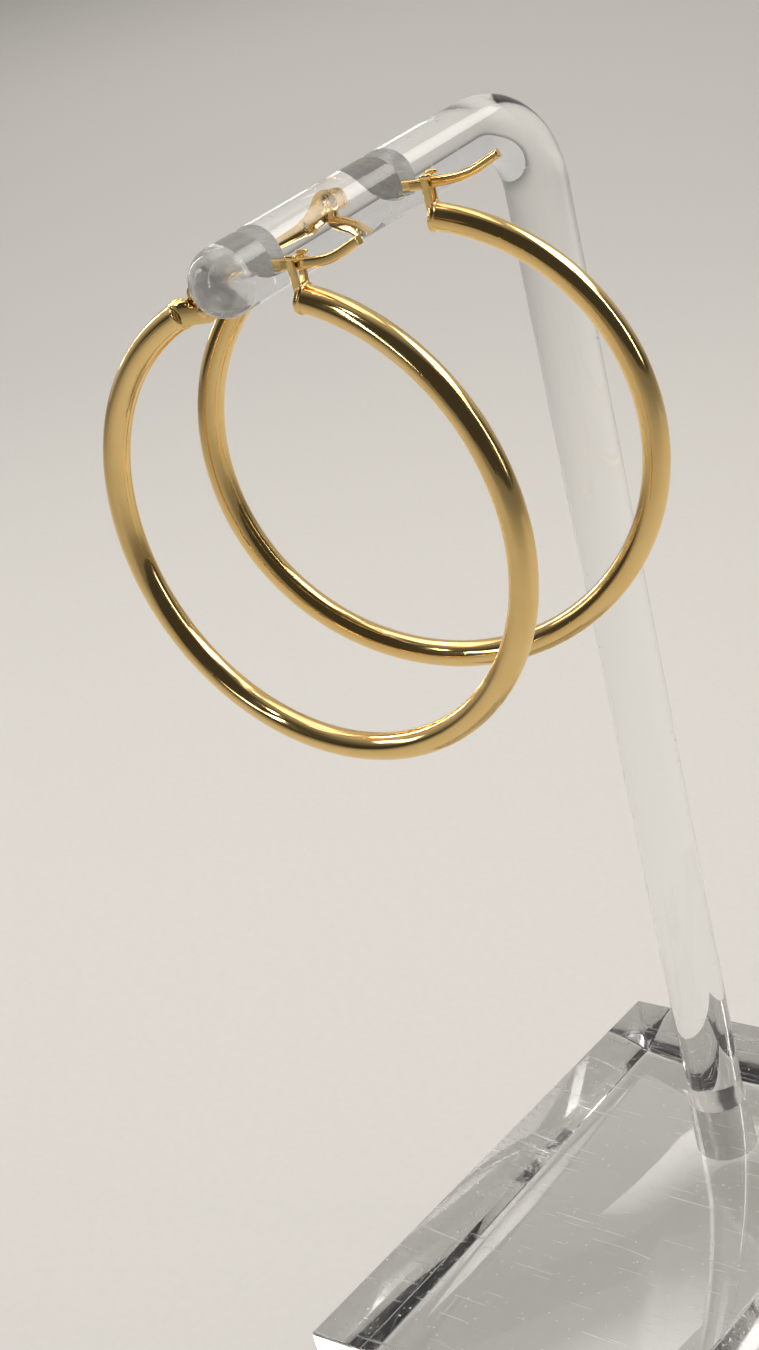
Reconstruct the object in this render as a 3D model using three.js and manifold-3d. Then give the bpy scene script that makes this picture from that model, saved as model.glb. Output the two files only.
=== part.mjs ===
// A pair of tube hoop earrings hanging on a clear display stand.
// Lengths are millimetres and angles are degrees. +Z is up, the stand's arm points towards -Y, and the
// origin is the middle of the base's underside.
import * as THREE from "three";
import { mergeVertices } from "three/addons/utils/BufferGeometryUtils.js";
import Module from "manifold-3d";

const wasm = await Module();
wasm.setup();

// Base block of the stand
const baseWidth = 51.2;
const baseDepth = 82.4;
const baseHeight = 25;
const postOffset = -1; // the rod's socket lies this far off the middle of the width
const postInset = 17.4; // from the back face to the rod's axis
const socketDepth = 17;
const socketClearance = 0.3;

// Bent rod of the stand
const rodDiameter = 8;
const armHeight = 145.3; // from the base's top to the corner where the two axes meet
const armReach = 58.8; // from the post's axis to the tip of the rounded end
const armDroop = 3.5; // the arm sinks this much towards its end
const armTurn = -1.25; // and points this much off the base's own direction
const bendRadius = 9.5;
const endSwell = 0.05; // the melted round end is this much fatter in radius than the rod

// Saw notches that the ear wires lie in
const notchBelowAxis = 1.05; // the floor lies this far under the arm's axis
const notchClearance = 0.27; // under and beside the ear wire
const notchRounding = 0.4; // of the floor's corners, as a share of half its width
const notchDraft = 1.5; // each wall opens this much upwards

// Hoop tube
const hoopRadius = 27.55; // of the tube's centre line
const tubeDiameter = 3.28;
const catchEndSide = 6.9; // the tube stops this far to the right of the hoop's middle
const hingeEndSide = 10.3; // and this far to the left of it
const capLip = 0.16; // the end caps stand this much proud of the tube
const capThickness = 0.75;

// Catch, a narrow strip folded to a V and soldered over the end cap
const catchWidth = 0.95;
const catchHeadWidth = 1.5;
const catchStrip = 0.45;
const catchGapLow = 0.8;
const catchGapTop = 1.5;
const catchTopAboveWire = 0.5;
const catchFold = 0.8; // height of the solid fold under the gap
const catchHeadSwell = 0.15; // each leg ends in a head this much thicker than the strip
const catchHeadHeight = 0.55;
const catchFrontOverhang = 0.35; // the strip stands this far in front of the tube's end
const catchSunk = 0.33; // its fold starts this far inside the hoop's centre line

// Hinged ear wire
const wireWidth = 1;
const wireHeight = 1.45;
const wireCorner = 0.35;
const wireRise = 2.9; // of its straight stretch over the hoop's centre line
const hangOffset = 0.9; // the arm's axis passes this far to the right of the hoop's middle

// Hinge
const pinSide = -6.1;
const pinDrop = 0.75; // the pin lies this far inside the hoop's centre line
const pinDiameter = 0.9;
const pinHeadDiameter = 1.6;
const pinHeadHeight = 0.4;
const pinHeadFlat = 0.6; // share of the head that its top keeps
const pinClearance = 0.1;
const eyeDiameter = 2.9;
const earDiameter = 3;
const earThickness = 0.65;
const webThickness = 0.5;
const rootHeight = 2.56; // of the ears where they leave the end cap

// Course of the ear wire past the hinge. The shoulder, the crook and the start of the straight stretch are
// measured from the pin, and what follows them from the tube's catch end. Heights that aren't from the pin
// are from the straight stretch.
const shoulderBack = 1.95;
const shoulderRise = 1.5;
const crookReach = 0.85;
const crookDrop = 0.45;
const straightStart = 2.8;
const straightPastCatch = 0.6;
const sweepReach = 4.9;
const sweepRise = 0.45;
const tipReach = 9;
const tipRise = 2.15;

// Mesh fineness
const rodSides = 24;
const bendSteps = 9;
const tubeSides = 16;
const tubeSteps = 48;
const wireSteps = 30;
const pinSides = 14;

// Each earring: how far its notch is from the arm's tip, how far the hoop is turned, and how far the notch
// is turned and tilts back towards the post
const nearNotchInset = 8.1;
const farNotchInset = 30.3;
const earrings = [
  { name: "near", fromTip: nearNotchInset, turn: 3.9, notchTurn: 3, notchTilt: 8 },
  { name: "far", fromTip: farNotchInset, turn: 18.4, notchTurn: 14, notchTilt: 12 },
];

const gold = { color: 0xc9993d, roughness: 0.15, metalness: 1 };
const clear = { color: 0xe6e8e6, roughness: 0.05, metalness: 0, transparent: true, opacity: 0.35 };

const rad = THREE.MathUtils.degToRad;
const flat = (side, up) => new THREE.Vector2(side, up);
const inPlane = (side, up) => new THREE.Vector3(side, 0, up);

// A closed geometry as a solid for cutting and joining, with its faces turned outwards
function solidOf(geometry) {
  const bare = geometry.clone();
  bare.deleteAttribute("normal");
  bare.deleteAttribute("uv");
  const merged = mergeVertices(bare, 1e-5);
  const { position } = merged.attributes;
  const corner = (i) => new THREE.Vector3().fromBufferAttribute(position, merged.index.getX(i));
  const triangles = [];
  let volume = 0;
  for (let i = 0; i < merged.index.count; i += 3) {
    const [a, b, c] = [0, 1, 2].map((k) => merged.index.getX(i + k));
    if (a === b || b === c || c === a) continue;
    triangles.push([a, b, c]);
    volume += corner(i).dot(corner(i + 1).cross(corner(i + 2)));
  }
  const outward = volume > 0 ? triangles : triangles.map(([a, b, c]) => [a, c, b]);
  return new wasm.Manifold(new wasm.Mesh({
    numProp: 3,
    vertProperties: new Float32Array(position.array),
    triVerts: new Uint32Array(outward.flat()),
  }));
}

function meshOf(name, solid, look) {
  const { vertProperties, triVerts } = solid.getMesh();
  const geometry = new THREE.BufferGeometry();
  geometry.setAttribute("position", new THREE.BufferAttribute(new Float32Array(vertProperties), 3));
  geometry.setIndex(new THREE.BufferAttribute(new Uint32Array(triVerts), 1));
  geometry.computeVertexNormals();
  const mesh = new THREE.Mesh(geometry, new THREE.MeshStandardMaterial(look));
  mesh.name = name;
  return mesh;
}

function roundSection(radius, sides) {
  const corners = [];
  for (let i = 0; i < sides; i += 1) {
    const angle = (2 * Math.PI * i) / sides;
    corners.push(flat(radius * Math.cos(angle), radius * Math.sin(angle)));
  }
  return new THREE.Shape(corners);
}

function sweep(section, path, steps) {
  return new THREE.ExtrudeGeometry(section, { steps, bevelEnabled: false, extrudePath: path });
}

// A plate with its outline in the hoop's plane, centred on that plane
function plate(outline, thickness) {
  const settings = { depth: thickness, bevelEnabled: false, curveSegments: 8 };
  const geometry = new THREE.ExtrudeGeometry(outline, settings);
  return geometry.rotateX(Math.PI / 2).translate(0, thickness / 2, 0);
}

// A turned piece whose axis runs from a place along a direction
function turned(profile, sides, place, direction) {
  const geometry = new THREE.LatheGeometry(profile, sides);
  const turn = new THREE.Quaternion();
  turn.setFromUnitVectors(new THREE.Vector3(0, 1, 0), direction.clone().normalize());
  return geometry.applyQuaternion(turn).translate(place.x, place.y, place.z);
}

// A path through given stations, each with its own direction
class StationPath extends THREE.Curve {
  constructor(stations) {
    super();
    this.stations = stations;
  }

  station(u) {
    return this.stations[Math.round(u * (this.stations.length - 1))];
  }

  getPointAt(u, target = new THREE.Vector3()) {
    return target.copy(this.station(u).place);
  }

  getTangentAt(u, target = new THREE.Vector3()) {
    return target.copy(this.station(u).direction);
  }
}

// A round arc about the hoop's middle, in the hoop's plane
class HoopArc extends THREE.Curve {
  constructor(start, end) {
    super();
    this.start = start;
    this.end = end;
  }

  getPoint(t, target = new THREE.Vector3()) {
    const angle = THREE.MathUtils.lerp(this.start, this.end, t);
    return target.set(hoopRadius * Math.cos(angle), 0, hoopRadius * Math.sin(angle));
  }
}

const rodRadius = rodDiameter / 2;
const tubeRadius = tubeDiameter / 2;
const post = new THREE.Vector3(postOffset, baseDepth / 2 - postInset, baseHeight);
const armCorner = post.clone().add(new THREE.Vector3(0, 0, armHeight));
const armAlong = new THREE.Vector3(
  Math.sin(rad(armTurn)) * Math.cos(rad(armDroop)),
  -Math.cos(rad(armTurn)) * Math.cos(rad(armDroop)),
  -Math.sin(rad(armDroop)),
);
const armSide = new THREE.Vector3(0, 0, 1).cross(armAlong).normalize();
const armUp = armAlong.clone().cross(armSide);
const onArm = (distance) => armCorner.clone().addScaledVector(armAlong, distance);
const roundEnd = onArm(armReach - rodRadius - endSwell);

function baseSolid() {
  const block = new THREE.BoxGeometry(baseWidth, baseDepth, baseHeight).translate(0, 0, baseHeight / 2);
  const deep = socketDepth + socketClearance;
  const wide = rodRadius + socketClearance;
  const socket = new THREE.CylinderGeometry(wide, wide, 2 * deep, rodSides).rotateX(Math.PI / 2);
  return solidOf(block).subtract(solidOf(socket.translate(post.x, post.y, post.z)));
}

// The rod goes up the post, round the bend and out along the arm
function rodStations() {
  const up = new THREE.Vector3(0, 0, 1);
  const bend = up.angleTo(armAlong);
  const inward = armAlong.clone().sub(up).normalize();
  const middle = armCorner.clone().addScaledVector(inward, bendRadius / Math.cos(bend / 2));
  const outward = armAlong.clone().addScaledVector(up, -armAlong.dot(up)).normalize();
  const stations = [{ place: post.clone().addScaledVector(up, -socketDepth), direction: up }];
  for (let i = 0; i <= bendSteps; i += 1) {
    const angle = (bend * i) / bendSteps;
    const direction = up.clone().multiplyScalar(Math.cos(angle)).addScaledVector(outward, Math.sin(angle));
    const spoke = outward.clone().multiplyScalar(-Math.cos(angle)).addScaledVector(up, Math.sin(angle));
    stations.push({ place: middle.clone().addScaledVector(spoke, bendRadius), direction });
  }
  stations.push({ place: roundEnd, direction: armAlong });
  return stations;
}

function notchTool(earring) {
  const skew = rad(earring.turn - armTurn - earring.notchTurn);
  const halfChord = Math.sqrt(rodRadius ** 2 - notchBelowAxis ** 2);
  const floor = wireWidth / 2 / Math.cos(skew) + Math.abs(Math.tan(skew)) * halfChord + notchClearance;
  const height = rodDiameter + notchBelowAxis;
  const top = floor + height * Math.tan(rad(notchDraft));
  const corner = floor * notchRounding;
  const outline = new THREE.Shape();
  outline.moveTo(-top, height);
  outline.lineTo(-floor, corner);
  outline.quadraticCurveTo(-floor, 0, -floor + corner, 0);
  outline.lineTo(floor - corner, 0);
  outline.quadraticCurveTo(floor, 0, floor, corner);
  outline.lineTo(top, height);
  const length = 3 * rodDiameter;
  const wireOverFloor = notchClearance + wireHeight / 2;
  const settings = { depth: length, bevelEnabled: false, curveSegments: 4 };
  const geometry = new THREE.ExtrudeGeometry(outline, settings).translate(0, -wireOverFloor, -length / 2);
  geometry.rotateZ(rad(earring.notchTilt)).rotateY(rad(earring.notchTurn));
  const place = new THREE.Matrix4().makeBasis(armAlong, armUp, armSide.clone().negate());
  const wirePlace = onArm(armReach - earring.fromTip).addScaledVector(armUp, wireOverFloor - notchBelowAxis);
  return geometry.applyMatrix4(place.setPosition(wirePlace));
}

function rodSolid() {
  const stations = rodStations();
  const bar = sweep(roundSection(rodRadius, rodSides), new StationPath(stations), stations.length - 1);
  const ball = new THREE.SphereGeometry(rodRadius + endSwell, rodSides, rodSides / 2);
  const turn = new THREE.Quaternion().setFromUnitVectors(new THREE.Vector3(0, 1, 0), armAlong);
  ball.applyQuaternion(turn).translate(roundEnd.x, roundEnd.y, roundEnd.z);
  let rod = solidOf(bar).add(solidOf(ball));
  for (const earring of earrings) rod = rod.subtract(solidOf(notchTool(earring)));
  return rod;
}

// In the hoop's own plane, the height of its centre line above its middle, at a distance to the side
const arcHeight = (side) => Math.sqrt(hoopRadius ** 2 - side ** 2);

const wireLevel = hoopRadius + wireRise;
const pinPlace = inPlane(pinSide, arcHeight(pinSide) - pinDrop);
const earGap = wireWidth + 2 * pinClearance;
const clevisWidth = earGap + 2 * earThickness;

// An end of the tube: its angle round the hoop, the way straight out of it and the middle of its cap's face
function tubeEnd(side, outwards) {
  const angle = Math.acos(side / hoopRadius);
  const direction = inPlane(-outwards * Math.sin(angle), outwards * Math.cos(angle));
  const place = inPlane(side, arcHeight(side)).addScaledVector(direction, capThickness / 3);
  return { angle, direction, place };
}

const catchEnd = tubeEnd(catchEndSide, 1);
const hingeEnd = tubeEnd(-hingeEndSide, -1);

// An end cap reaches from inside the tube to a flat face, and has softened rims
function capSolid(end) {
  const wide = tubeRadius + capLip;
  const soft = capLip;
  const profile = [
    flat(0, -capThickness),
    flat(wide - soft, -capThickness),
    flat(wide, soft - capThickness),
    flat(wide, -soft),
    flat(wide - soft, 0),
    flat(0, 0),
  ];
  return solidOf(turned(profile, tubeSides, end.place, end.direction));
}

// The catch's V stands across the hoop's plane, and each leg ends in a wider head
function catchSolid() {
  const top = wireLevel + wireHeight / 2 + catchTopAboveWire;
  const left = catchEndSide - catchFrontOverhang;
  const foot = arcHeight(catchEndSide) - catchSunk;
  const gapFoot = foot + catchFold;
  const low = catchGapLow / 2;
  const high = catchGapTop / 2;
  const rim = high + catchStrip + catchHeadSwell;
  const half = [
    flat(low + catchStrip, foot),
    flat(high + catchStrip, top - catchHeadHeight),
    flat(rim, top - catchHeadHeight),
    flat(rim, top),
    flat(high, top),
    flat(low, gapFoot),
  ];
  const outline = new THREE.Shape([...half, ...half.map((p) => flat(-p.x, p.y)).reverse()]);
  const fold = new THREE.ExtrudeGeometry(outline, { depth: catchHeadWidth, bevelEnabled: false });
  const acrossPlane = new THREE.Matrix4().makeBasis(
    new THREE.Vector3(0, 1, 0),
    new THREE.Vector3(0, 0, 1),
    new THREE.Vector3(1, 0, 0),
  );
  fold.applyMatrix4(acrossPlane).translate(left, 0, 0);
  const spare = catchStrip; // the trimming tool reaches this much past the strip
  const side = new THREE.Shape([
    flat(left - spare, foot - spare),
    flat(left + catchWidth, foot - spare),
    flat(left + catchWidth, top - catchHeadHeight),
    flat(left + catchHeadWidth + spare, top - catchHeadHeight),
    flat(left + catchHeadWidth + spare, top + spare),
    flat(left - spare, top + spare),
  ]);
  return solidOf(fold).intersect(solidOf(plate(side, 2 * (rim + spare))));
}

// Two ears with a slot between them, on a short web against the hinge end's cap
function clevisSolid() {
  const root = hingeEnd.place;
  const along = pinPlace.clone().sub(root).normalize();
  const across = inPlane(-along.z, along.x);
  const at = (origin, forward, sideways) => {
    const p = origin.clone().addScaledVector(along, forward).addScaledVector(across, sideways);
    return flat(p.x, p.z);
  };
  const sunk = capThickness / 2; // the root is buried this deep in the cap
  const heading = Math.atan2(along.z, along.x);
  const roundEar = new THREE.EllipseCurve(
    pinPlace.x, pinPlace.z, earDiameter / 2, earDiameter / 2, heading - Math.PI / 2, heading + Math.PI / 2,
  );
  const outline = new THREE.Shape([
    at(root, -sunk, -rootHeight / 2),
    ...roundEar.getPoints(pinSides),
    at(root, -sunk, rootHeight / 2),
  ]);
  const ears = solidOf(plate(outline, clevisWidth));
  const slotEnd = 2 * earDiameter;
  const slot = new THREE.Shape([
    at(root, webThickness, -earDiameter),
    at(pinPlace, slotEnd, -earDiameter),
    at(pinPlace, slotEnd, earDiameter),
    at(root, webThickness, earDiameter),
  ]);
  return ears.subtract(solidOf(plate(slot, earGap)));
}

function boreTool(diameter, length) {
  const bore = new THREE.CylinderGeometry(diameter / 2, diameter / 2, length, pinSides);
  return solidOf(bore.translate(pinPlace.x, 0, pinPlace.z));
}

function hoopSolid() {
  const arc = new HoopArc(catchEnd.angle, hingeEnd.angle - 2 * Math.PI);
  return solidOf(sweep(roundSection(tubeRadius, tubeSides), arc, tubeSteps))
    .add(capSolid(catchEnd))
    .add(capSolid(hingeEnd))
    .add(catchSolid())
    .add(clevisSolid())
    .subtract(boreTool(pinDiameter + 2 * pinClearance, 2 * clevisWidth));
}

function wireSection() {
  const [w, h, c] = [wireWidth / 2, wireHeight / 2, wireCorner];
  return new THREE.Shape([
    flat(w, -h + c), flat(w, h - c), flat(w - c, h), flat(c - w, h),
    flat(-w, h - c), flat(-w, c - h), flat(c - w, -h), flat(w - c, -h),
  ]);
}

// The ear wire leaves its eye upwards, bends over the notch, passes the catch and curves up to its tip
function wireSolid() {
  const path = new THREE.CatmullRomCurve3([
    pinPlace,
    inPlane(pinPlace.x - shoulderBack, pinPlace.z + shoulderRise),
    inPlane(pinPlace.x + crookReach, wireLevel - crookDrop),
    inPlane(pinPlace.x + straightStart, wireLevel),
    inPlane(hangOffset, wireLevel),
    inPlane(catchEndSide + straightPastCatch, wireLevel),
    inPlane(catchEndSide + sweepReach, wireLevel + sweepRise),
    inPlane(catchEndSide + tipReach, wireLevel + tipRise),
  ], false, "centripetal");
  const eye = new THREE.CylinderGeometry(eyeDiameter / 2, eyeDiameter / 2, wireWidth, tubeSides);
  return solidOf(sweep(wireSection(), path, wireSteps))
    .add(solidOf(eye.translate(pinPlace.x, 0, pinPlace.z)))
    .subtract(boreTool(pinDiameter + 2 * pinClearance, 2 * wireWidth));
}

function pinSolid() {
  const reach = clevisWidth / 2 + pinClearance;
  const [shank, head] = [pinDiameter / 2, pinHeadDiameter / 2];
  const half = [flat(shank, reach), flat(head, reach), flat(head * pinHeadFlat, reach + pinHeadHeight)];
  const profile = [
    flat(0, -reach - pinHeadHeight),
    ...half.map((p) => flat(p.x, -p.y)).reverse(),
    ...half,
    flat(0, reach + pinHeadHeight),
  ];
  return solidOf(turned(profile, pinSides, pinPlace, new THREE.Vector3(0, 1, 0)));
}

// An earring in its own frame: X to the right and Z up in the hoop's plane, with the hoop's middle at zero
function earringGroup(earring) {
  const group = new THREE.Group();
  group.add(
    meshOf(`${earring.name}_hoop`, hoopSolid(), gold),
    meshOf(`${earring.name}_ear_wire`, wireSolid(), gold),
    meshOf(`${earring.name}_hinge_pin`, pinSolid(), gold),
  );
  const rodAbove = wireLevel - wireHeight / 2 - notchClearance + notchBelowAxis;
  group.rotation.z = rad(earring.turn);
  const right = new THREE.Vector3(Math.cos(group.rotation.z), Math.sin(group.rotation.z), 0);
  group.position.copy(onArm(armReach - earring.fromTip)).addScaledVector(right, -hangOffset);
  group.position.z -= rodAbove;
  return group;
}

const group = new THREE.Group();
group.add(meshOf("stand_base", baseSolid(), clear), meshOf("stand_rod", rodSolid(), clear));
for (const earring of earrings) group.add(earringGroup(earring));

export default group;
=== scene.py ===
"""A pair of gold tube hoop earrings hanging on a clear bent-rod display stand.

Shapes are worked out in millimetres from the same driving sizes as the solids they stand for, and each mesh
is turned into metres when its object is made.
"""
import math

import bmesh
import bpy
from mathutils import Matrix, Quaternion, Vector


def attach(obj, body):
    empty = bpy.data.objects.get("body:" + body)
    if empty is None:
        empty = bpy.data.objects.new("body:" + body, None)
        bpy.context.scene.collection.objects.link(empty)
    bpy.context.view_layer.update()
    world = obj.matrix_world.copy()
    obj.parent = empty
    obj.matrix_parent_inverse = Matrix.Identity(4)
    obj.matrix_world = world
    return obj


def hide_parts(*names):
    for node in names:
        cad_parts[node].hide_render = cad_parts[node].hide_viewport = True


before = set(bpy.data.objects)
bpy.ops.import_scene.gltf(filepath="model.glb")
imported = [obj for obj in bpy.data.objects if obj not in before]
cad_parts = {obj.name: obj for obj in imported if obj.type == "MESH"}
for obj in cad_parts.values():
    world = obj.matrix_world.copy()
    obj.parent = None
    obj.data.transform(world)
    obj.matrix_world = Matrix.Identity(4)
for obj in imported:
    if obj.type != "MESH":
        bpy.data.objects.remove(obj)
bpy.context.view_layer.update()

MM = 0.001
UP = Vector((0, 0, 1))

# Base block
BASE_WIDTH = 51.2
BASE_DEPTH = 82.4
BASE_HEIGHT = 25
BASE_EDGE = 0.35
POST_OFFSET = -1
POST_INSET = 17.4
SOCKET_DEPTH = 17
SOCKET_CLEARANCE = 0.3

# Bent rod, a little thinner than its solid's 4 mm so that it stays inside the faceted solid's box
ROD_RADIUS = 3.97
ARM_HEIGHT = 145.3
ARM_REACH = 58.8
ARM_DROOP = math.radians(3.5)
ARM_TURN = math.radians(-1.25)
BEND_RADIUS = 9.5
END_SWELL = 0.05
FOOT_EDGE = 0.25

# Notches
NOTCH_BELOW_AXIS = 1.05
NOTCH_CLEARANCE = 0.27
NOTCH_ROUNDING = 0.4  # of the floor's corners, as a share of half its width
NOTCH_DRAFT = math.radians(1.5)

# Hoop tube and its end caps
HOOP_RADIUS = 27.55
TUBE_RADIUS = 1.64
CATCH_END_SIDE = 6.9
HINGE_END_SIDE = 10.3
CAP_LIP = 0.16
CAP_THICKNESS = 0.75
CAP_PAST_END = CAP_THICKNESS / 3

# Faint grooves along the tube: how many go round it, their shift, drift along it and half their depth
DRAWN_LINES = [
    (5, 0.4, 1.0, 0.006),
    (9, 2.1, 1.7, 0.004),
    (14, 5.2, 2.3, 0.0022),
    (23, 1.1, 3.1, 0.0009),
]

# Catch
CATCH_WIDTH = 0.95
CATCH_HEAD_WIDTH = 1.5
CATCH_STRIP = 0.45
CATCH_GAP_LOW = 0.8
CATCH_GAP_TOP = 1.5
CATCH_TOP_ABOVE_WIRE = 0.5
CATCH_FOLD = 0.8
CATCH_HEAD_SWELL = 0.15
CATCH_HEAD_HEIGHT = 0.55
CATCH_FRONT_OVERHANG = 0.35
CATCH_SUNK = 0.33
STRIP_ROUNDING = 0.1
BEAD_ROUNDING = 0.24

# Ear wire
WIRE_WIDTH = 1
WIRE_HEIGHT = 1.45
WIRE_TIP_SHARE = 0.72  # of its height that is left at its tip
WIRE_FULLNESS = 0.55  # power in its section's curve: 1 is an ellipse, and less is fuller
WIRE_RISE = 2.9
HANG_OFFSET = 0.9
SHOULDER_BACK = 1.95
SHOULDER_RISE = 1.5
CROOK_REACH = 0.85
CROOK_DROP = 0.45
STRAIGHT_START = 2.8
STRAIGHT_PAST_CATCH = 0.6
SWEEP_REACH = 4.9
SWEEP_RISE = 0.45
TIP_REACH = 9
TIP_RISE = 2.15
WIRE_COURSE = 24  # its rough length, which WIRE_STEPS are spread over

# Hinge
PIN_SIDE = -6.1
PIN_DROP = 0.75
PIN_RADIUS = 0.45
PIN_HEAD_RADIUS = 0.8
PIN_HEAD_HEIGHT = 0.4
PIN_CLEARANCE = 0.1
EYE_RADIUS = 1.45
EAR_RADIUS = 1.5
EAR_THICKNESS = 0.65
WEB_THICKNESS = 0.5
ROOT_HEIGHT = 2.56
EAR_ROUNDING = 0.28
EAR_BARREL = 0.22  # the outer faces sink this much towards the ears' edges
DIP_ALONG = -1.4  # the round dip in the ears' upper edge, measured from the pin
DIP_UP = 1.6
DIP_RADIUS = 1.05

# Each earring: distance of its notch from the arm's tip, turn, and the notch's own turn and backward tilt
EARRINGS = [
    {"name": "near", "from_tip": 8.1, "turn": 3.9, "notch_turn": 3, "notch_tilt": 8},
    {"name": "far", "from_tip": 30.3, "turn": 18.4, "notch_turn": 14, "notch_tilt": 12},
]

# Mesh fineness and finish
ROD_SIDES = 128
BEND_STEPS = 48
BALL_STEPS = 40
SWELL_STEPS = 10
TUBE_SIDES = 96
WIRE_SIDES = 48
TUBE_STEPS = 320
LATHE_SIDES = 48
ARC_STEPS = 24
CORNER_STEPS = 8
WIRE_STEPS = 160
VOXEL = 0.05
SMOOTHING = 0.5
SHARP_ANGLE = math.radians(35)

# Places and directions that follow from the sizes
POST = Vector((POST_OFFSET, BASE_DEPTH / 2 - POST_INSET, BASE_HEIGHT))
ARM_CORNER = POST + UP * ARM_HEIGHT
ARM_ALONG = Vector((
    math.sin(ARM_TURN) * math.cos(ARM_DROOP),
    -math.cos(ARM_TURN) * math.cos(ARM_DROOP),
    -math.sin(ARM_DROOP),
))
ARM_SIDE = UP.cross(ARM_ALONG).normalized()
ARM_UP = ARM_ALONG.cross(ARM_SIDE)
WIRE_LEVEL = HOOP_RADIUS + WIRE_RISE
EAR_GAP = WIRE_WIDTH + 2 * PIN_CLEARANCE
CLEVIS_WIDTH = EAR_GAP + 2 * EAR_THICKNESS


def on_arm(distance):
    return ARM_CORNER + ARM_ALONG * distance


def arc_height(side):
    return math.sqrt(HOOP_RADIUS**2 - side**2)


PIN_PLACE = Vector((PIN_SIDE, 0, arc_height(PIN_SIDE) - PIN_DROP))


# Mesh helpers

def mesh_of(verts, faces):
    mesh = bpy.data.meshes.new("shell")
    mesh.from_pydata([tuple(v) for v in verts], [], faces)
    bm = bmesh.new()
    bm.from_mesh(mesh)
    bmesh.ops.recalc_face_normals(bm, faces=bm.faces)
    bm.to_mesh(mesh)
    bm.free()
    return mesh


def tube_mesh(rings):
    """A closed body through rings of equal length, with a flat face on each end."""
    count = len(rings[0])
    verts = [v for ring in rings for v in ring]
    faces = [tuple(range(count)), tuple(range(len(verts) - count, len(verts)))]
    for i in range(len(rings) - 1):
        for k in range(count):
            a, b = i * count + k, i * count + (k + 1) % count
            faces.append((a, b, b + count, a + count))
    return mesh_of(verts, faces)


def ring(centre, radius, side, up, sides):
    angles = [2 * math.pi * k / sides for k in range(sides)]
    return [centre + (side * math.cos(a) + up * math.sin(a)) * radius for a in angles]


def lathe_mesh(profile, place, direction, sides=LATHE_SIDES):
    """A turned body. The profile holds radius and distance along the direction.

    It starts and ends off the axis, where a flat face closes the body.
    """
    side = direction.orthogonal().normalized()
    up = direction.cross(side).normalized()
    rings = [ring(place + direction * along, radius, side, up, sides) for radius, along in profile]
    return tube_mesh(rings)


def prism_mesh(outline, low, high, place):
    """A body of constant outline between two depths; place turns outline x, y and depth into a point."""
    verts = [place(x, y, depth) for depth in (low, high) for x, y in outline]
    n = len(outline)
    faces = [tuple(range(n)), tuple(range(n, 2 * n))]
    faces += [(k, (k + 1) % n, n + (k + 1) % n, n + k) for k in range(n)]
    return mesh_of(verts, faces)


def in_plane(x, z, depth):
    return Vector((x, depth, z))


def applied(mesh, kind, settings):
    """The mesh after one modifier."""
    carrier = bpy.data.objects.new("carrier", mesh)
    bpy.context.scene.collection.objects.link(carrier)
    modifier = carrier.modifiers.new(kind, kind)
    for key, value in settings.items():
        setattr(modifier, key, value)
    depsgraph = bpy.context.evaluated_depsgraph_get()
    result = bpy.data.meshes.new_from_object(carrier.evaluated_get(depsgraph))
    bpy.data.objects.remove(carrier)
    return result


def cut(mesh, tool):
    """The mesh less a tool body, with the tool's material on the faces that it makes."""
    carrier = bpy.data.objects.new("tool", tool)
    bpy.context.scene.collection.objects.link(carrier)
    settings = {
        "operation": "DIFFERENCE",
        "object": carrier,
        "solver": "EXACT",
        "material_mode": "TRANSFER",
    }
    result = applied(mesh, "BOOLEAN", settings)
    bpy.data.objects.remove(carrier)
    return result


def joined(meshes):
    """Several bodies in one mesh, without their materials."""
    bm = bmesh.new()
    for mesh in meshes:
        bm.from_mesh(mesh)
    result = bpy.data.meshes.new("shell")
    bm.to_mesh(result)
    bm.free()
    return result


def cast(meshes, rounds):
    """The bodies fused into one with soft edges and filled corners, like solder and polish leave them."""
    fused = applied(joined(meshes), "REMESH", {"mode": "VOXEL", "voxel_size": VOXEL})
    return applied(fused, "SMOOTH", {"factor": SMOOTHING, "iterations": rounds})


def piece(name, mesh, body, node, materials=None, place=None):
    """An object in metres at the world's origin that rides on a body and stands for a node."""
    mesh.name = name
    if place is not None:
        mesh.transform(place)
    mesh.transform(Matrix.Scale(MM, 4))
    obj = bpy.data.objects.new(name, mesh)
    bpy.context.scene.collection.objects.link(obj)
    if materials:
        mesh.materials.clear()
        for material in materials:
            mesh.materials.append(material)
    mesh.shade_smooth()
    mesh.set_sharp_from_angle(angle=SHARP_ANGLE)
    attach(obj, body)
    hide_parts(node)


# Material helpers. Textures are placed in metres, so a scale of 1000 makes one unit a millimetre

PER_MM = (1000, 1000, 1000)
ACRYLIC_IOR = 1.49


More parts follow.
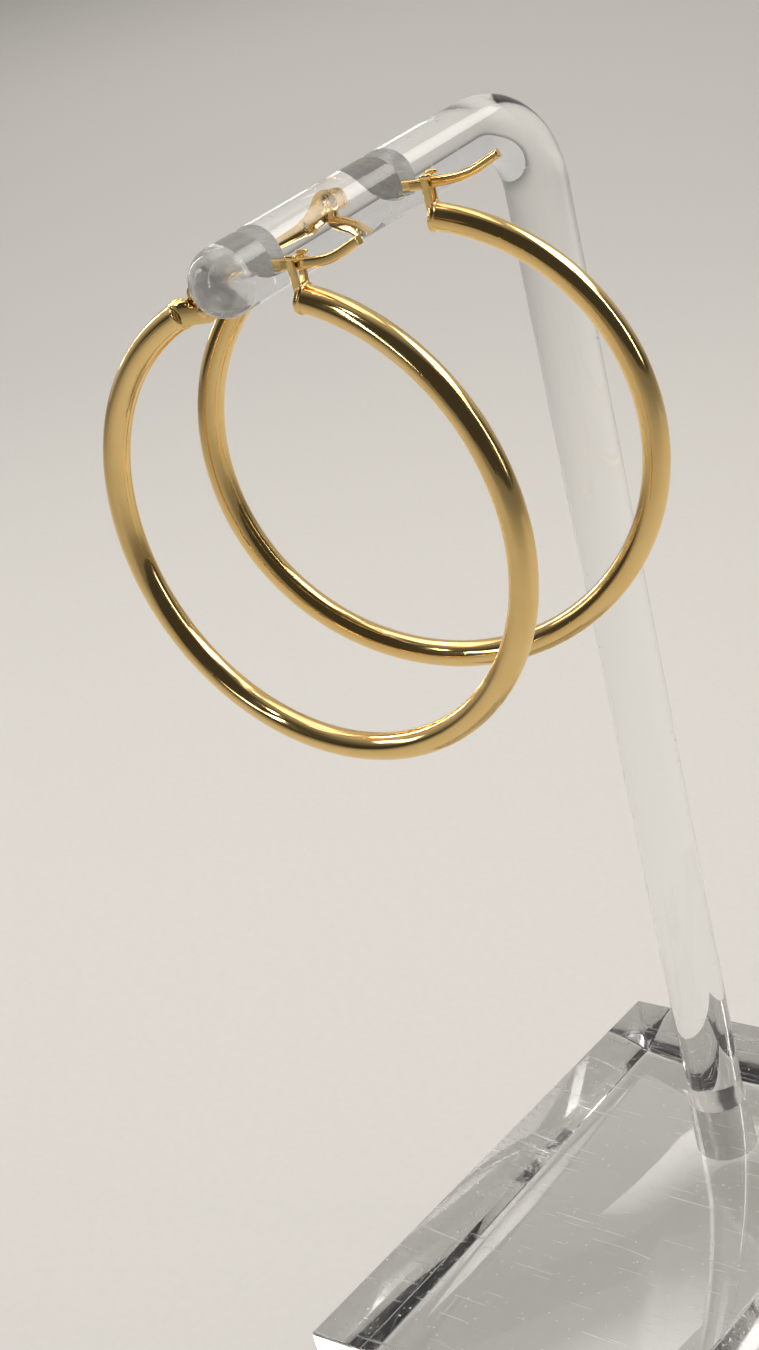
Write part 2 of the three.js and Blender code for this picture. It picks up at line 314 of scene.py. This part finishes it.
class Graph:
    """A material's node tree with short calls for the nodes that it takes."""

    def __init__(self, name):
        self.material = bpy.data.materials.new(name)
        self.material.use_nodes = True
        self.tree = self.material.node_tree
        self.shader = self.tree.nodes["Principled BSDF"]
        self.output = self.tree.nodes["Material Output"]

    def add(self, kind, values=None, links=None, **settings):
        node = self.tree.nodes.new(kind)
        for key, value in settings.items():
            setattr(node, key, value)
        for key, value in (values or {}).items():
            node.inputs[key].default_value = value
        for key, source in (links or {}).items():
            self.tree.links.new(source, node.inputs[key])
        return node

    def place(self, scale, turn=(0, 0, 0), source="Object"):
        where = self.add("ShaderNodeTexCoord").outputs[source]
        mapping = self.add("ShaderNodeMapping", {"Scale": scale, "Rotation": turn}, {"Vector": where})
        return mapping.outputs["Vector"]

    def noise(self, place, scale=1.0, detail=2.0, rough=0.5):
        values = {"Scale": scale, "Detail": detail, "Roughness": rough}
        return self.add("ShaderNodeTexNoise", values, {"Vector": place}).outputs["Fac"]

    def cells(self, place, scale=1.0):
        return self.add("ShaderNodeTexVoronoi", {"Scale": scale}, {"Vector": place}).outputs["Distance"]

    def spread(self, value, low, high, to_low=0.0, to_high=1.0):
        values = {"From Min": low, "From Max": high, "To Min": to_low, "To Max": to_high}
        return self.add("ShaderNodeMapRange", values, {"Value": value}).outputs["Result"]

    def math(self, operation, a, b):
        node = self.add("ShaderNodeMath", operation=operation)
        for socket, value in zip(node.inputs, (a, b)):
            if isinstance(value, bpy.types.NodeSocket):
                self.tree.links.new(value, socket)
            else:
                socket.default_value = value
        return node.outputs["Value"]

    def colour(self, factor, first, second):
        node = self.add("ShaderNodeMix", data_type="RGBA")
        self.tree.links.new(factor, node.inputs["Factor"])
        node.inputs["A"].default_value = (*first, 1)
        node.inputs["B"].default_value = (*second, 1)
        return node.outputs["Result"]

    def bump(self, height, distance, normal=None):
        links = {"Height": height}
        if normal is not None:
            links["Normal"] = normal
        return self.add("ShaderNodeBump", {"Strength": 1, "Distance": distance}, links).outputs["Normal"]

    def set(self, **values):
        """Sets or links the shader's sockets, with an underscore for each space in a name."""
        for key, value in values.items():
            socket = self.shader.inputs[key.replace("_", " ")]
            if isinstance(value, bpy.types.NodeSocket):
                self.tree.links.new(value, socket)
            else:
                socket.default_value = value


def gold_material(name, along_tube):
    """Polished yellow gold: streaks along the tube or aslant over the fittings, with pits and smudges."""
    g = Graph(name)
    if along_tube:
        streak_place = g.place((12, 1900, 1), source="UV")
        wave_place = g.place((160, 420, 1), source="UV")
        wave_height, streak_height = 0.000016, 0.00002
    else:
        streak_place = g.place((700, 2600, 1500), turn=(0.4, 0.7, 0.2))
        wave_place = g.place((350, 350, 350))
        wave_height, streak_height = 0.000015, 0.000012
    fine_place = g.place(PER_MM)
    deep_gold, pale_gold = (0.82, 0.55, 0.2), (0.93, 0.69, 0.32)
    pit_depth = 0.000004
    streaks = g.noise(streak_place, detail=3.0, rough=0.6)
    waves = g.noise(wave_place, detail=1.0)
    smudges = g.noise(fine_place, scale=0.18, detail=4.0, rough=0.65)
    pits = g.spread(g.cells(fine_place, scale=1.1), 0.03, 0.12)
    tone = g.colour(smudges, deep_gold, pale_gold)
    smudge_roughness = g.spread(smudges, 0.3, 0.75, 0.05, 0.13)
    streak_roughness = g.spread(streaks, 0.5, 0.8, 0.0, 0.1)
    roughness = g.math("ADD", smudge_roughness, streak_roughness)
    normal = g.bump(waves, wave_height)
    normal = g.bump(streaks, streak_height, normal)
    normal = g.bump(pits, pit_depth, normal)
    g.set(Base_Color=tone, Roughness=roughness, Normal=normal, Metallic=1.0)
    return g.material


def let_light_through(g, tint):
    """Lets shadow rays pass with a tint, so that light reaches what lies behind or under the acrylic."""
    path = g.add("ShaderNodeLightPath")
    clear = g.add("ShaderNodeBsdfTransparent", {"Color": (*tint, 1)})
    mix = g.add("ShaderNodeMixShader")
    g.tree.links.new(path.outputs["Is Shadow Ray"], mix.inputs[0])
    g.tree.links.new(g.shader.outputs[0], mix.inputs[1])
    g.tree.links.new(clear.outputs[0], mix.inputs[2])
    g.tree.links.new(mix.outputs[0], g.output.inputs["Surface"])


def scratch_mask(g, rarity):
    """Thin straight marks in three directions, 0 or close to it between them."""
    turns_and_shifts = [((0.3, 0.2, 0.5), 0.0), ((0.1, 0.9, 2.2), 3.0), ((0.7, 0.4, 1.3), 7.0)]
    long_and_thin = (70, 2200, 2200)
    fade = 0.07
    marks = None
    for turn, shift in turns_and_shifts:
        spot = g.place(long_and_thin, turn=turn)
        shifted = g.add("ShaderNodeVectorMath", {1: (shift,) * 3}, {0: spot}, operation="ADD").outputs[0]
        mark = g.spread(g.noise(shifted, detail=1.0), rarity, rarity + fade)
        marks = mark if marks is None else g.math("MAXIMUM", marks, mark)
    return marks


def acrylic_material(name, wave, rarity, wear, dusty):
    """Clear acrylic with handling scratches, haze and waves of a given height, and with specks if dusty."""
    g = Graph(name)
    even_place = g.place(PER_MM)
    mark_roughness, haze_roughness, mark_depth = 0.25 * wear, 0.05 * wear, 0.000006 * wear
    marks = scratch_mask(g, rarity)
    if dusty:
        specks = g.spread(g.cells(even_place, scale=0.55), 0.05, 0.1, 1.0, 0.0)
        marks = g.math("MAXIMUM", marks, specks)
    waves = g.noise(even_place, scale=0.07, detail=1.0)
    haze = g.noise(even_place, scale=0.25, detail=3.0)
    hazed = g.spread(haze, 0.45, 0.8, 0.0, haze_roughness)
    roughness = g.math("ADD", hazed, g.math("MULTIPLY", marks, mark_roughness))
    normal = g.bump(waves, wave)
    normal = g.bump(marks, mark_depth, normal)
    g.set(Base_Color=(0.985, 0.99, 0.985, 1), Roughness=roughness, Normal=normal)
    g.set(Transmission_Weight=1.0, IOR=ACRYLIC_IOR)
    let_light_through(g, (0.95, 0.955, 0.95))
    return g.material


def cut_material(name):
    """Sawn acrylic: frosted, with the saw's chatter marks across the wall."""
    g = Graph(name)
    chatter_place = g.place((300, 1800, 1800), turn=(0.0, 0.3, 0.2))
    chatter = g.noise(chatter_place, detail=3.0, rough=0.7)
    chatter_depth = 0.0001
    roughness = g.spread(chatter, 0.3, 0.7, 0.16, 0.42)
    clearness = g.spread(chatter, 0.3, 0.7, 0.05, 0.45)
    g.set(Base_Color=(0.97, 0.965, 0.95, 1), Roughness=roughness, Normal=g.bump(chatter, chatter_depth))
    g.set(Transmission_Weight=clearness, IOR=ACRYLIC_IOR)
    let_light_through(g, (0.8, 0.8, 0.79))
    return g.material


def ball_material(name):
    """The rod's melted end and the socket's wall: clear, but cloudy and lumpy."""
    g = Graph(name)
    even_place = g.place(PER_MM)
    lump_height = 0.0003
    lumps = g.noise(even_place, scale=0.32, detail=2.0)
    cloud = g.noise(even_place, scale=0.5, detail=4.0, rough=0.6)
    roughness = g.spread(cloud, 0.35, 0.7, 0.02, 0.3)
    g.set(Base_Color=(0.96, 0.955, 0.94, 1), Roughness=roughness, Normal=g.bump(lumps, lump_height))
    g.set(Transmission_Weight=0.72, IOR=ACRYLIC_IOR)
    let_light_through(g, (0.9, 0.9, 0.89))
    return g.material


def floor_material():
    g = Graph("pale_floor")
    dark_grain, light_grain, grain_height = (0.62, 0.605, 0.58), (0.66, 0.645, 0.62), 0.00002
    grain = g.noise(g.place(PER_MM), scale=0.6, detail=3.0)
    tone = g.colour(grain, dark_grain, light_grain)
    g.set(Base_Color=tone, Roughness=0.75, Normal=g.bump(grain, grain_height))
    return g.material


ROD_ACRYLIC = acrylic_material("rod_acrylic", wave=0.00006, rarity=0.73, wear=1, dusty=False)
BLOCK_ACRYLIC = acrylic_material("block_acrylic", wave=0.000006, rarity=0.72, wear=2, dusty=True)
CUT_ACRYLIC = cut_material("sawn_acrylic")
BALL_ACRYLIC = ball_material("melted_acrylic")
GOLD_TUBE = gold_material("gold_tube", along_tube=True)
GOLD_CAST = gold_material("gold_fittings", along_tube=False)


# Base block

def base_mesh():
    """The block with soft edges and the rod's blind socket."""
    half = Vector((BASE_WIDTH / 2, BASE_DEPTH / 2))
    outline = [(half.x, half.y), (-half.x, half.y), (-half.x, -half.y), (half.x, -half.y)]
    block = prism_mesh(outline, 0, BASE_HEIGHT, lambda x, y, depth: Vector((x, y, depth)))
    block.materials.append(BLOCK_ACRYLIC)
    block = applied(block, "BEVEL", {"width": BASE_EDGE, "segments": 3})
    wide = ROD_RADIUS + SOCKET_CLEARANCE
    deep = SOCKET_DEPTH + SOCKET_CLEARANCE
    profile = [(wide - FOOT_EDGE, -deep), (wide, FOOT_EDGE - deep), (wide, deep)]
    socket = lathe_mesh(profile, POST, UP, ROD_SIDES)
    socket.materials.append(BALL_ACRYLIC)
    return cut(block, socket)


# Bent rod

def rod_rings():
    """Rings up the post, round the bend, along the arm and over its rounded end."""
    bend = UP.angle(ARM_ALONG)
    inward = (ARM_ALONG - UP).normalized()
    middle = ARM_CORNER + inward * (BEND_RADIUS / math.cos(bend / 2))
    outward = (ARM_ALONG - UP * ARM_ALONG.dot(UP)).normalized()
    side = UP.cross(outward).normalized()
    foot = POST - UP * SOCKET_DEPTH
    rings = [
        ring(foot, ROD_RADIUS - FOOT_EDGE, side, outward, ROD_SIDES),
        ring(foot + UP * FOOT_EDGE, ROD_RADIUS, side, outward, ROD_SIDES),
    ]
    for i in range(BEND_STEPS + 1):
        angle = bend * i / BEND_STEPS
        spoke = outward * -math.cos(angle) + UP * math.sin(angle)
        rings.append(ring(middle + spoke * BEND_RADIUS, ROD_RADIUS, side, -spoke, ROD_SIDES))
    end = on_arm(ARM_REACH - ROD_RADIUS - END_SWELL)
    across = side.cross(ARM_ALONG)
    for i in range(BALL_STEPS):
        angle = math.pi / 2 * i / BALL_STEPS
        swell = ROD_RADIUS + END_SWELL * min(1, i / SWELL_STEPS)
        place = end + ARM_ALONG * (ROD_RADIUS + END_SWELL) * math.sin(angle)
        rings.append(ring(place, swell * math.cos(angle), side, across, ROD_SIDES))
    return rings


def notch_tool(earring):
    """The body that one saw cut takes out of the arm, round the straight stretch of the ear wire."""
    turn = math.radians(earring["notch_turn"])
    skew = math.radians(earring["turn"]) - ARM_TURN - turn
    half_chord = math.sqrt(ROD_RADIUS**2 - NOTCH_BELOW_AXIS**2)
    floor = WIRE_WIDTH / 2 / math.cos(skew) + abs(math.tan(skew)) * half_chord + NOTCH_CLEARANCE
    height = 2 * ROD_RADIUS + NOTCH_BELOW_AXIS
    top = floor + height * math.tan(NOTCH_DRAFT)
    corner = floor * NOTCH_ROUNDING
    right = [(floor - corner, 0)]
    for i in range(1, CORNER_STEPS):
        t = i / CORNER_STEPS
        right.append((floor - corner * (1 - t) ** 2, corner * t**2))
    right += [(floor, corner), (top, height)]
    outline = right + [(-x, y) for x, y in reversed(right)]
    wire_over_floor = NOTCH_CLEARANCE + WIRE_HEIGHT / 2
    wire_place = on_arm(ARM_REACH - earring["from_tip"]) + ARM_UP * (wire_over_floor - NOTCH_BELOW_AXIS)
    spin = Quaternion(ARM_UP, turn)
    level = spin @ ARM_SIDE
    tilt = Quaternion(level, -math.radians(earring["notch_tilt"]))
    along, up = tilt @ spin @ ARM_ALONG, tilt @ ARM_UP
    reach = 3 * ROD_RADIUS

    def in_cut(x, y, depth):
        return wire_place + along * x + up * (y - wire_over_floor) + level * depth

    tool = prism_mesh(outline, -reach, reach, in_cut)
    tool.materials.append(CUT_ACRYLIC)
    return tool


def rod_mesh():
    """The bent rod with its saw cuts, and with the melted acrylic on its rounded end."""
    rod = tube_mesh(rod_rings())
    rod.materials.append(ROD_ACRYLIC)
    rod.materials.append(BALL_ACRYLIC)
    ball_start = on_arm(ARM_REACH - ROD_RADIUS - END_SWELL).dot(ARM_ALONG)
    for face in rod.polygons:
        face.material_index = int(face.center.dot(ARM_ALONG) > ball_start and face.center.z > BASE_HEIGHT)
    for earring in EARRINGS:
        rod = cut(rod, notch_tool(earring))
    return rod


# Gold, in the hoop's own frame: X to the right and Z up in the hoop's plane, its middle at zero

HOOP_AXIS = Vector((0, 1, 0))


def tube_end(side, outwards):
    """The angle of one end of the tube, the direction out of it, and its cap's place."""
    angle = math.acos(side / HOOP_RADIUS)
    direction = Vector((-outwards * math.sin(angle), 0, outwards * math.cos(angle)))
    place = Vector((side, 0, arc_height(side))) + direction * CAP_PAST_END
    return angle, direction, place


CATCH_ANGLE, CATCH_OUT, CATCH_PLACE = tube_end(CATCH_END_SIDE, 1)
HINGE_ANGLE, HINGE_OUT, HINGE_PLACE = tube_end(-HINGE_END_SIDE, -1)
EAR_ALONG = (PIN_PLACE - HINGE_PLACE).normalized()
EAR_ACROSS = Vector((-EAR_ALONG.z, 0, EAR_ALONG.x))


def drawn_radius(around, along):
    """The tube's radius less the shallow lengthwise grooves that drawing and polishing leave."""
    depth = 0
    for waves, shift, drift, half_depth in DRAWN_LINES:
        depth += half_depth * (1 + math.cos(waves * around + shift + math.sin(along * drift)))
    return TUBE_RADIUS - depth


def hoop_tube_mesh():
    """The bent tube with UVs in metres, along it and around it."""
    start, end = CATCH_ANGLE, HINGE_ANGLE - 2 * math.pi
    rings = []
    for i in range(TUBE_STEPS + 1):
        angle = start + (end - start) * i / TUBE_STEPS
        out = Vector((math.cos(angle), 0, math.sin(angle)))
        centre = out * HOOP_RADIUS
        unit_ring = ring(centre, 1, out, HOOP_AXIS, TUBE_SIDES)
        rings.append([
            centre + (v - centre) * drawn_radius(2 * math.pi * k / TUBE_SIDES, angle)
            for k, v in enumerate(unit_ring)
        ])
    mesh = tube_mesh(rings)
    uv = mesh.uv_layers.new(name="along_tube")
    length = abs(end - start) * HOOP_RADIUS * MM
    girth = 2 * math.pi * TUBE_RADIUS * MM
    for face in mesh.polygons:
        ks = [mesh.loops[loop].vertex_index % TUBE_SIDES for loop in face.loop_indices]
        wraps = max(ks) - min(ks) > TUBE_SIDES / 2
        for loop, k in zip(face.loop_indices, ks):
            step = mesh.loops[loop].vertex_index // TUBE_SIDES
            turn = k + TUBE_SIDES if wraps and k < TUBE_SIDES / 2 else k
            uv.data[loop].uv = (length * step / TUBE_STEPS, girth * turn / TUBE_SIDES)
    return mesh


def cap_mesh(place, direction):
    """An end cap whose bevelled rim stands a little proud of the tube."""
    wide = TUBE_RADIUS + CAP_LIP
    profile = [
        (wide - CAP_LIP, -CAP_THICKNESS),
        (wide, CAP_LIP - CAP_THICKNESS),
        (wide, -CAP_LIP),
        (wide - CAP_LIP, 0),
    ]
    return lathe_mesh(profile, place, direction)


def clevis_meshes():
    """Two round-nosed ears and the web that joins them."""
    along, across = EAR_ALONG, EAR_ACROSS

    def outline_from(points):
        return [(p.x, p.z) for p in points]

    nose = []
    for i in range(ARC_STEPS + 1):
        angle = -math.pi / 2 + math.pi * i / ARC_STEPS
        nose.append(PIN_PLACE + (along * math.cos(angle) + across * math.sin(angle)) * EAR_RADIUS)
    root = HINGE_PLACE - along * CAP_THICKNESS / 2
    foot = [root + across * ROOT_HEIGHT / 2, root - across * ROOT_HEIGHT / 2]
    ear = outline_from(nose + foot)
    face = HINGE_PLACE + along * WEB_THICKNESS
    web = outline_from([face - across * ROOT_HEIGHT / 2, face + across * ROOT_HEIGHT / 2] + foot)
    inner, outer = EAR_GAP / 2, CLEVIS_WIDTH / 2
    dip = PIN_PLACE + along * DIP_ALONG + across * DIP_UP
    ears = []
    for low, high in ((inner, outer), (-outer, -inner)):
        dip_profile = [(DIP_RADIUS, low - EAR_THICKNESS), (DIP_RADIUS, high + EAR_THICKNESS)]
        body = cut(prism_mesh(ear, low, high, in_plane), lathe_mesh(dip_profile, dip, HOOP_AXIS))
        ears.append(applied(body, "BEVEL", {"width": EAR_ROUNDING, "segments": 4}))
    return [*ears, prism_mesh(web, -outer, outer, in_plane)]


def barrel_ears(mesh):
    """Curves the ears' outer faces, which stay highest along the line from the tube to the pin."""
    ear_middle = (EAR_GAP + CLEVIS_WIDTH) / 4
    for vertex in mesh.vertices:
        forward = (vertex.co - HINGE_PLACE).dot(EAR_ALONG)
        off = (vertex.co - PIN_PLACE).dot(EAR_ACROSS) / EAR_RADIUS
        outward = abs(vertex.co.y) - ear_middle
        if forward > 0 and outward > 0:
            share = min(1, forward / WEB_THICKNESS) * min(1, 2 * outward / EAR_THICKNESS)
            vertex.co.y -= math.copysign(EAR_BARREL * off * off * share, vertex.co.y)
    return mesh


def catch_meshes():
    """A narrow strip folded to a V across the hoop's plane, with a head on each leg."""
    top = WIRE_LEVEL + WIRE_HEIGHT / 2 + CATCH_TOP_ABOVE_WIRE
    left = CATCH_END_SIDE - CATCH_FRONT_OVERHANG
    foot = arc_height(CATCH_END_SIDE) - CATCH_SUNK
    low, high = CATCH_GAP_LOW / 2, CATCH_GAP_TOP / 2
    head_foot = top - CATCH_HEAD_HEIGHT
    half = [
        (low + CATCH_STRIP, foot),
        (high + CATCH_STRIP, head_foot),
        (high, head_foot),
        (low, foot + CATCH_FOLD),
    ]
    strip = half + [(-x, y) for x, y in reversed(half)]
    rim = high + CATCH_STRIP + CATCH_HEAD_SWELL

    def across_plane(x, y, depth):
        return Vector((left + depth, x, y))

    folded = prism_mesh(strip, 0, CATCH_WIDTH, across_plane)
    bodies = [applied(folded, "BEVEL", {"width": STRIP_ROUNDING, "segments": 3})]
    for sign in (-1, 1):
        head = [(sign * high, head_foot), (sign * rim, head_foot), (sign * rim, top), (sign * high, top)]
        bead = prism_mesh(head, 0, CATCH_HEAD_WIDTH, across_plane)
        bodies.append(applied(bead, "BEVEL", {"width": BEAD_ROUNDING, "segments": 5}))
    return bodies


def spline(points):
    """Places and directions along a centripetal Catmull-Rom curve through the points."""
    ends = [points[0] * 2 - points[1]] + points + [points[-1] * 2 - points[-2]]
    places = []
    for i in range(1, len(points)):
        p = ends[i - 1:i + 3]
        d = [math.sqrt((p[k + 1] - p[k]).length) for k in range(3)]
        leave = ((p[1] - p[0]) / d[0] - (p[2] - p[0]) / (d[0] + d[1]) + (p[2] - p[1]) / d[1]) * d[1]
        arrive = ((p[2] - p[1]) / d[1] - (p[3] - p[1]) / (d[1] + d[2]) + (p[3] - p[2]) / d[2]) * d[1]
        steps = max(2, round(WIRE_STEPS * (p[2] - p[1]).length / WIRE_COURSE))
        for k in range(steps):
            t = k / steps
            places.append(
                p[1] * (2 * t**3 - 3 * t**2 + 1) + leave * (t**3 - 2 * t**2 + t)
                + p[2] * (3 * t**2 - 2 * t**3) + arrive * (t**3 - t**2)
            )
    places.append(points[-1])
    directions = []
    for i in range(len(places)):
        ahead, behind = places[min(i + 1, len(places) - 1)], places[max(i - 1, 0)]
        directions.append((ahead - behind).normalized())
    return places, directions


def wire_section(share):
    """The flat wire's section, like an ellipse but fuller, with a share of its full height."""
    corners = []
    for k in range(WIRE_SIDES):
        angle = 2 * math.pi * k / WIRE_SIDES
        c, s = math.cos(angle), math.sin(angle)
        corners.append((
            math.copysign(abs(c) ** WIRE_FULLNESS, c) * WIRE_WIDTH / 2,
            math.copysign(abs(s) ** WIRE_FULLNESS, s) * WIRE_HEIGHT / 2 * share,
        ))
    return corners


def wire_meshes():
    """The ear wire from the pin to its free tip, and the round eye that turns on the pin."""
    points = [
        PIN_PLACE,
        Vector((PIN_PLACE.x - SHOULDER_BACK, 0, PIN_PLACE.z + SHOULDER_RISE)),
        Vector((PIN_PLACE.x + CROOK_REACH, 0, WIRE_LEVEL - CROOK_DROP)),
        Vector((PIN_PLACE.x + STRAIGHT_START, 0, WIRE_LEVEL)),
        Vector((HANG_OFFSET, 0, WIRE_LEVEL)),
        Vector((CATCH_END_SIDE + STRAIGHT_PAST_CATCH, 0, WIRE_LEVEL)),
        Vector((CATCH_END_SIDE + SWEEP_REACH, 0, WIRE_LEVEL + SWEEP_RISE)),
        Vector((CATCH_END_SIDE + TIP_REACH, 0, WIRE_LEVEL + TIP_RISE)),
    ]
    places, directions = spline(points)
    rings = []
    for i, (place, direction) in enumerate(zip(places, directions)):
        share = 1 - (1 - WIRE_TIP_SHARE) * (i / len(places)) ** 2
        over = Vector((-direction.z, 0, direction.x))
        rings.append([place + Vector((0, x, 0)) + over * y for x, y in wire_section(share)])
    half = WIRE_WIDTH / 2
    eye = lathe_mesh([(EYE_RADIUS, -half), (EYE_RADIUS, half)], PIN_PLACE, HOOP_AXIS)
    return [tube_mesh(rings), eye]


def pin_mesh():
    """The rivet with a domed head on each side of the ears."""
    reach = CLEVIS_WIDTH / 2 + PIN_CLEARANCE
    head = [(PIN_RADIUS, reach)]
    for i in range(ARC_STEPS // 2):
        angle = math.pi * i / ARC_STEPS
        head.append((PIN_HEAD_RADIUS * math.cos(angle), reach + PIN_HEAD_HEIGHT * math.sin(angle)))
    profile = [(radius, -along) for radius, along in reversed(head)] + head
    return lathe_mesh(profile, PIN_PLACE, HOOP_AXIS)


def joined_objects(objects):
    """Several objects as one mesh that keeps their materials."""
    for obj in objects:
        bpy.context.scene.collection.objects.link(obj)
    with bpy.context.temp_override(active_object=objects[0], selected_editable_objects=objects):
        bpy.ops.object.join()
    mesh = objects[0].data
    bpy.data.objects.remove(objects[0])
    return mesh


def hoop_mesh():
    """The tube, the hinge end with its ears and the catch end, soldered into one piece."""
    tube = hoop_tube_mesh()
    tube.materials.append(GOLD_TUBE)
    hinge = barrel_ears(cast([cap_mesh(HINGE_PLACE, HINGE_OUT), *clevis_meshes()], rounds=5))
    catch = cast([cap_mesh(CATCH_PLACE, CATCH_OUT), *catch_meshes()], rounds=5)
    for fitting in (hinge, catch):
        fitting.materials.clear()
        fitting.materials.append(GOLD_CAST)
    shells = [bpy.data.objects.new("shell", mesh) for mesh in (tube, hinge, catch)]
    return joined_objects(shells)


def earring_place(earring):
    """Where the earring hangs: its wire just clear of the notch's floor, and its turn about the upright."""
    turn = math.radians(earring["turn"])
    right = Vector((math.cos(turn), math.sin(turn), 0))
    rod_above = WIRE_LEVEL - WIRE_HEIGHT / 2 - NOTCH_CLEARANCE + NOTCH_BELOW_AXIS
    middle = on_arm(ARM_REACH - earring["from_tip"]) - right * HANG_OFFSET - UP * rod_above
    return Matrix.Translation(middle) @ Matrix.Rotation(turn, 4, "Z")


piece("stand_block", base_mesh(), "stand", "stand_base")
piece("stand_bent_rod", rod_mesh(), "stand", "stand_rod")
for row in EARRINGS:
    tag = row["name"]
    where = earring_place(row)
    piece(f"{tag}_gold_hoop", hoop_mesh(), "stand", f"{tag}_hoop", place=where)
    wire = cast(wire_meshes(), rounds=6)
    piece(f"{tag}_gold_wire", wire, f"{tag}_wire", f"{tag}_ear_wire", [GOLD_CAST], where)
    piece(f"{tag}_gold_pin", pin_mesh(), "stand", f"{tag}_hinge_pin", [GOLD_CAST], where)


# Floor, lights and camera

FLOOR_SIZE = 6
FLOOR_DROP = 0.0002  # keeps the floor clear of the block's underside
WARM = (1.0, 0.96, 0.91)
COOL = (0.97, 0.98, 1.0)
EARRINGS_MIDDLE = (0, 0, 0.13)
BOUNCES = 16  # enough for light to pass through block, rod and socket

# The world is pale on one side and dim on the other
WORLD_TINT = (1.0, 0.97, 0.93, 1)
PALE_SIDE = (-0.55, 0.6, 0.5)
DIM_STRENGTH = 0.05
PALE_STRENGTH = 0.55
FULLY_PALE_FROM = 0.75

# Camera, solved from the rod, the block and the hoops in the photograph
FOCAL_PIXELS = 2301.62
FRAME_HEIGHT = 1350
FILM_HEIGHT = 36
CAMERA_PLACE = (0.167723, -0.200162, 0.222225)
CAMERA_RIGHT = (0.76714, 0.6025, -0.22021)
CAMERA_UP = (-0.09238, 0.44348, 0.89151)
CAMERA_BACK = (0.63479, -0.66357, 0.39587)

# Lamps: place, the point they face, size and light
LIGHTS = [
    {"name": "overhead", "place": (-0.35, 0.38, 1.1), "target": (-0.3, 0.33, 0),
     "size": (0.9, 0.9), "watts": 1.5, "spread": 90, "tint": WARM},
    {"name": "wash", "place": (-0.95, 1.0, 1.9), "target": (-0.95, 1.0, 0),
     "size": (0.5, 0.5), "watts": 2.9, "spread": 80, "tint": WARM},
    {"name": "window", "place": (-0.7, -0.45, 0.55), "target": EARRINGS_MIDDLE,
     "size": (0.12, 0.3), "watts": 0.5, "spread": 180, "tint": COOL},
    {"name": "left_strip", "place": (-0.8, 0.15, 0.5), "target": EARRINGS_MIDDLE,
     "size": (0.05, 0.7), "watts": 0.3, "spread": 70, "tint": WARM},
    {"name": "right_strip", "place": (0.7, 0.25, 0.5), "target": EARRINGS_MIDDLE,
     "size": (0.05, 0.7), "watts": 0.3, "spread": 70, "tint": WARM},
    {"name": "front_strip", "place": (-0.15, -0.9, 0.5), "target": EARRINGS_MIDDLE,
     "size": (0.04, 0.6), "watts": 0.25, "spread": 70, "tint": WARM},
    {"name": "upper_right", "place": (0.5, 0.6, 0.85), "target": (0, 0, 0.14),
     "size": (0.7, 0.5), "watts": 0.75, "spread": 60, "tint": WARM},
    {"name": "spark", "place": (0.0, -0.5, 0.75), "target": (0, 0, 0.15),
     "size": (0.04, 0.04), "watts": 0.25, "spread": 180, "tint": WARM},
]


def add_floor():
    half = FLOOR_SIZE / 2
    corners = [(-half, -half, 0), (half, -half, 0), (half, half, 0), (-half, half, 0)]
    mesh = bpy.data.meshes.new("floor")
    mesh.from_pydata(corners, [], [(0, 1, 2, 3)])
    mesh.materials.append(floor_material())
    floor = bpy.data.objects.new("floor", mesh)
    floor.location.z = -FLOOR_DROP
    bpy.context.scene.collection.objects.link(floor)


def add_light(name, place, target, size, watts, spread, tint):
    lamp = bpy.data.lights.new(name, "AREA")
    lamp.shape = "RECTANGLE"
    lamp.size, lamp.size_y = size
    lamp.energy = watts
    lamp.spread = math.radians(spread)
    lamp.color = tint
    obj = bpy.data.objects.new(name, lamp)
    obj.location = place
    obj.rotation_euler = (Vector(target) - Vector(place)).to_track_quat("-Z", "Y").to_euler()
    bpy.context.scene.collection.objects.link(obj)


def add_camera():
    lens = bpy.data.cameras.new("camera")
    lens.sensor_fit = "VERTICAL"
    lens.sensor_height = FILM_HEIGHT
    lens.lens = FOCAL_PIXELS * FILM_HEIGHT / FRAME_HEIGHT
    lens.clip_start, lens.clip_end = 0.01, 20
    camera = bpy.data.objects.new("camera", lens)
    axes = Matrix((CAMERA_RIGHT, CAMERA_UP, CAMERA_BACK)).transposed()
    camera.matrix_world = Matrix.Translation(Vector(CAMERA_PLACE)) @ axes.to_4x4()
    bpy.context.scene.collection.objects.link(camera)
    bpy.context.scene.camera = camera


def add_world():
    """A background whose strength rises smoothly towards the pale side."""
    world = bpy.data.worlds.new("studio")
    world.use_nodes = True
    tree = world.node_tree
    background = tree.nodes["Background"]
    background.inputs["Color"].default_value = WORLD_TINT
    where = tree.nodes.new("ShaderNodeTexCoord")
    towards = tree.nodes.new("ShaderNodeVectorMath")
    towards.operation = "DOT_PRODUCT"
    towards.inputs[1].default_value = Vector(PALE_SIDE).normalized()
    rise = tree.nodes.new("ShaderNodeMapRange")
    rise.interpolation_type = "SMOOTHSTEP"
    rise.inputs["From Min"].default_value = 0
    rise.inputs["From Max"].default_value = FULLY_PALE_FROM
    rise.inputs["To Min"].default_value = DIM_STRENGTH
    rise.inputs["To Max"].default_value = PALE_STRENGTH
    tree.links.new(where.outputs["Generated"], towards.inputs[0])
    tree.links.new(towards.outputs["Value"], rise.inputs["Value"])
    tree.links.new(rise.outputs["Result"], background.inputs["Strength"])
    bpy.context.scene.world = world


add_floor()
add_world()
for light in LIGHTS:
    add_light(**light)
add_camera()

scene = bpy.context.scene
scene.view_settings.view_transform = "Standard"
scene.cycles.caustics_reflective = False
scene.cycles.caustics_refractive = False
scene.cycles.max_bounces = BOUNCES
scene.cycles.transmission_bounces = BOUNCES
